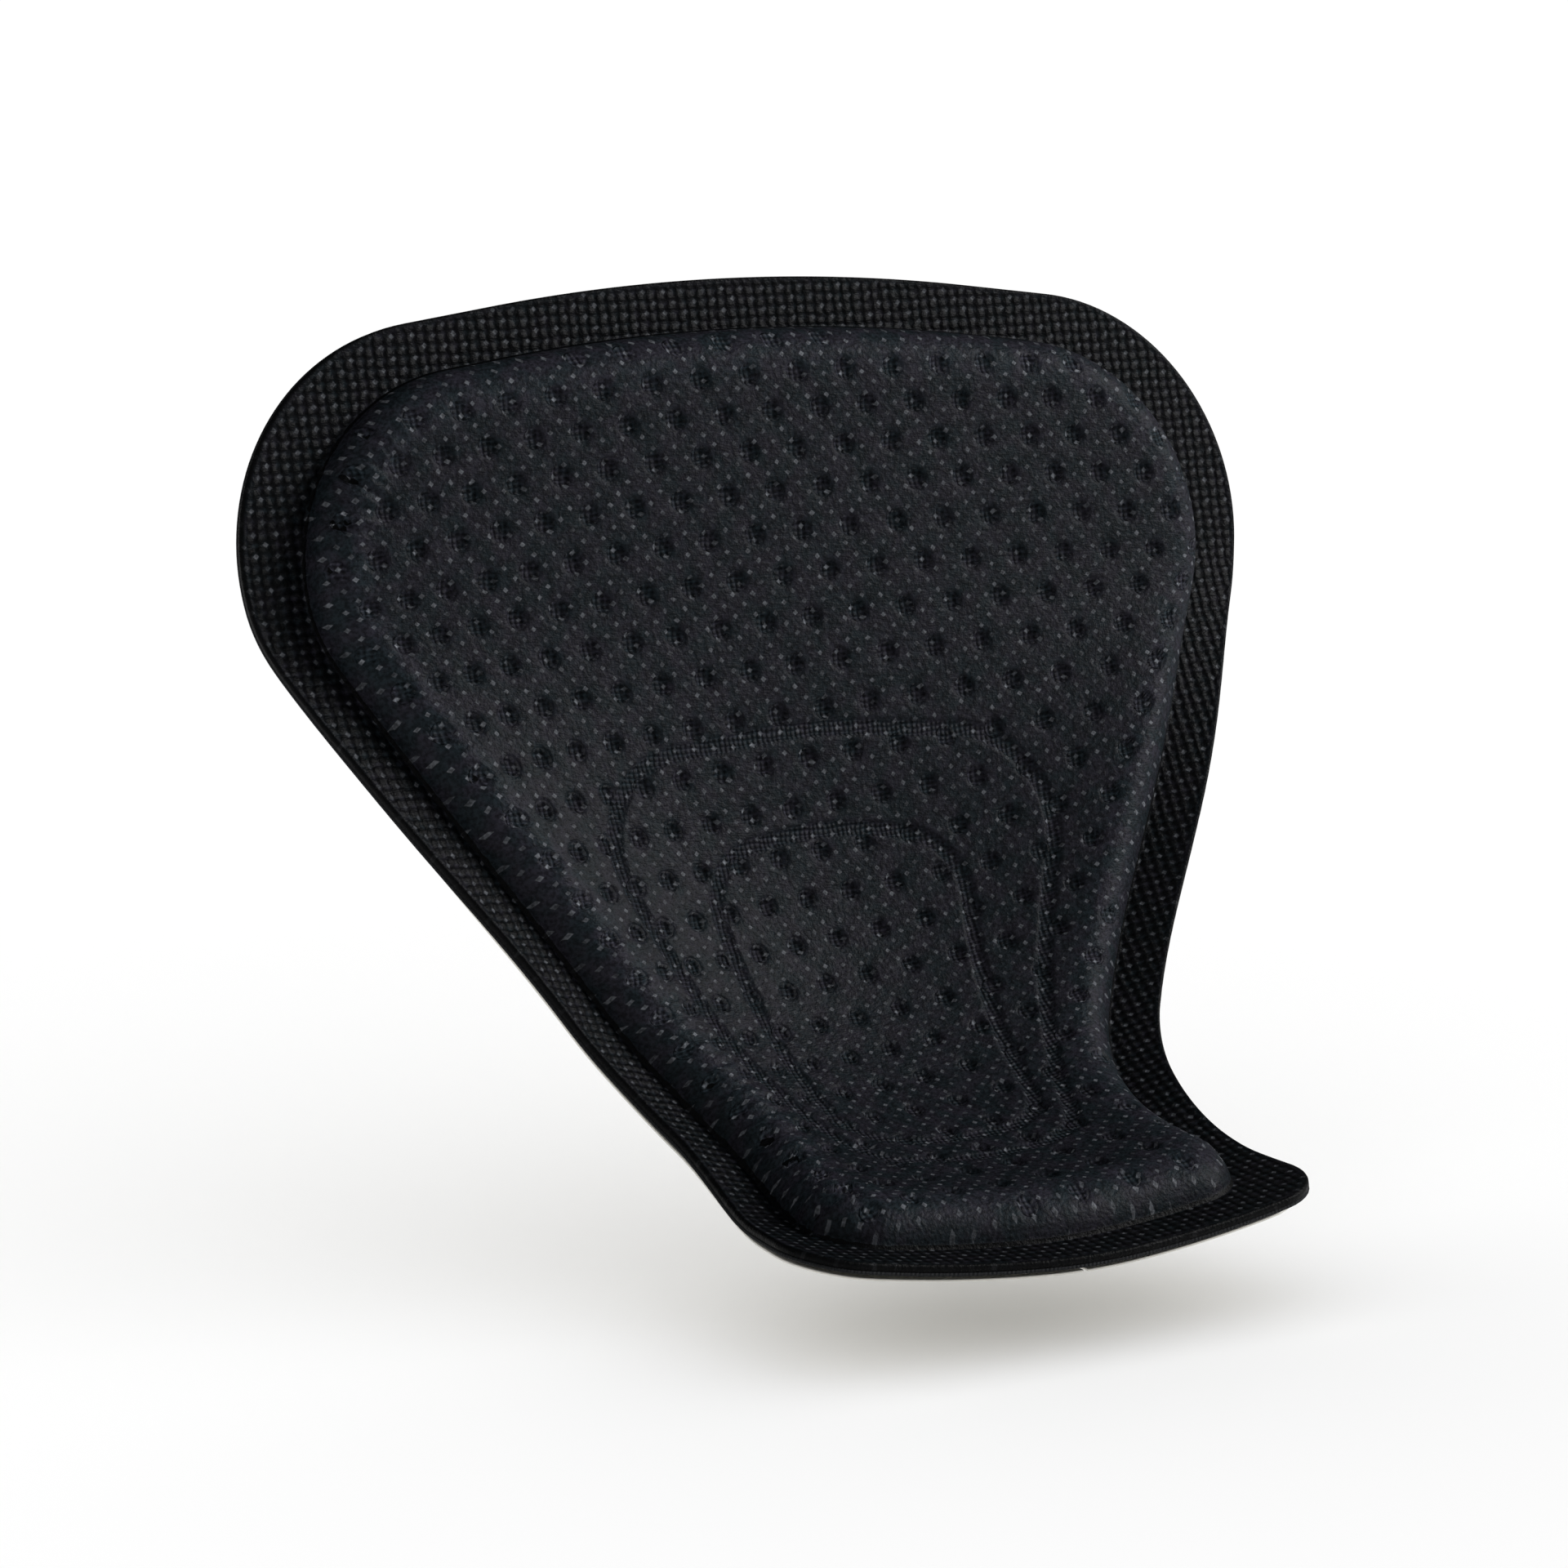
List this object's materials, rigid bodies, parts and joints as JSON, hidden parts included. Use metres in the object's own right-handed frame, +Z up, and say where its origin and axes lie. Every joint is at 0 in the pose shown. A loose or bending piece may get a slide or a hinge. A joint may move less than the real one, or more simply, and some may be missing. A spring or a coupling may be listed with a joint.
{
  "type": "cushioned heel pad insole",
  "caption": "Moulded self-adhesive heel cushion: dimpled fabric face over foam with pressed loop grooves and a flat edge, curling under the heel, on peel-off liners.",
  "frame": {"origin": "on the middle line behind the adhesive sheet, 52 mm of sheet below the top edge", "axes": "+Z up the heel, -Y towards the toes and the wearer's heel, +X across the heel; the wide wall stands up and the lip runs forward"},
  "size_m": [0.1086, 0.0634, 0.0834],
  "materials": {
    "face_knit": "charcoal warp knit with small pale flecks",
    "foam": "soft grey-black open-cell foam",
    "base_cloth": "plain black tricot backing",
    "adhesive": "tacky milky adhesive film",
    "liner": "siliconed release paper, smooth"
  },
  "bodies": {
    "pad": {"face_fabric": "face_knit", "foam_cushion": "foam", "base_cloth": "base_cloth", "adhesive_sheet": "adhesive"},
    "liner_right_half": {"liner_right": "liner"},
    "liner_left_half": {"liner_left": "liner"}
  },
  "joints": [
    {"name": "liner_right_peel", "type": "slide", "parent": "pad", "child": "liner_right_half", "axis": [0, 1, 0], "range_m": [0, 0.08]},
    {"name": "liner_left_peel", "type": "slide", "parent": "pad", "child": "liner_left_half", "axis": [0, 1, 0], "range_m": [0, 0.08]}
  ]
}
